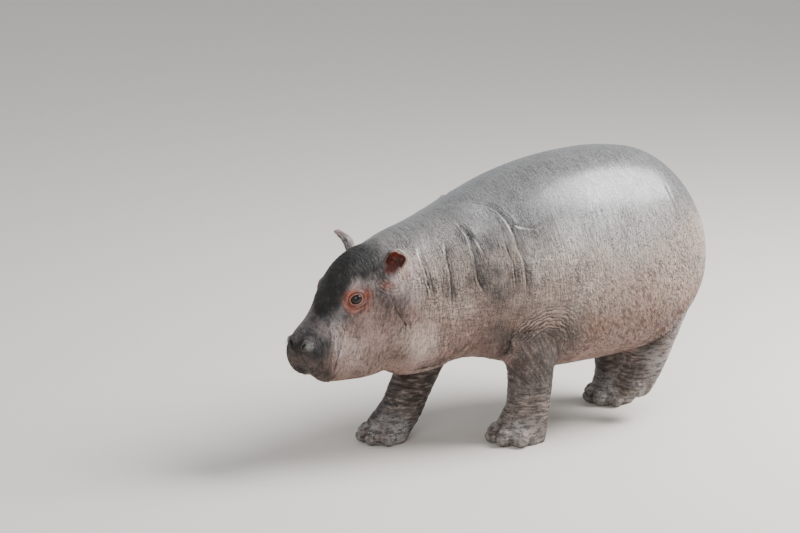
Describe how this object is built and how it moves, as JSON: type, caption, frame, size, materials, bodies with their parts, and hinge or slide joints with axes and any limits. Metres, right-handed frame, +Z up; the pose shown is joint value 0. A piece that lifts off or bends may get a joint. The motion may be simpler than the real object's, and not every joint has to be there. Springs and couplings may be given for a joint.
{
  "type": "hippopotamus calf model",
  "caption": "Life-size still model of a young hippopotamus in mid stride: barrel body, broad muzzle, short legs, the left hind foot lifted.",
  "frame": {"origin": "on the floor under the middle of the bounding box, between the feet", "axes": "+Z up, nose towards -Y, the animal's left side towards +X"},
  "size_m": [0.4242, 1.1466, 0.6535],
  "materials": {
    "back_skin": "damp, finely wrinkled hide",
    "head_skin": "damp, smooth hide",
    "pink_skin": "soft pink hide",
    "leg_skin": "dry, ringed hide",
    "eye": "wet gloss",
    "nail": "worn horn"
  },
  "bodies": {
    "root": {"trunk": "back_skin", "neck": "back_skin", "tail": "back_skin", "head": "head_skin", "lower_jaw": "pink_skin", "ear_left": "pink_skin", "ear_right": "pink_skin", "eye_left": "eye", "eye_right": "eye", "leg_front_left": "leg_skin", "leg_front_right": "leg_skin", "leg_hind_left": "leg_skin", "leg_hind_right": "leg_skin", "nail_front_left_1": "nail", "nail_front_left_2": "nail", "nail_front_left_3": "nail", "nail_front_left_4": "nail", "nail_front_right_1": "nail", "nail_front_right_2": "nail", "nail_front_right_3": "nail", "nail_front_right_4": "nail", "nail_hind_left_1": "nail", "nail_hind_left_2": "nail", "nail_hind_left_3": "nail", "nail_hind_left_4": "nail", "nail_hind_right_1": "nail", "nail_hind_right_2": "nail", "nail_hind_right_3": "nail", "nail_hind_right_4": "nail"}
  },
  "joints": []
}
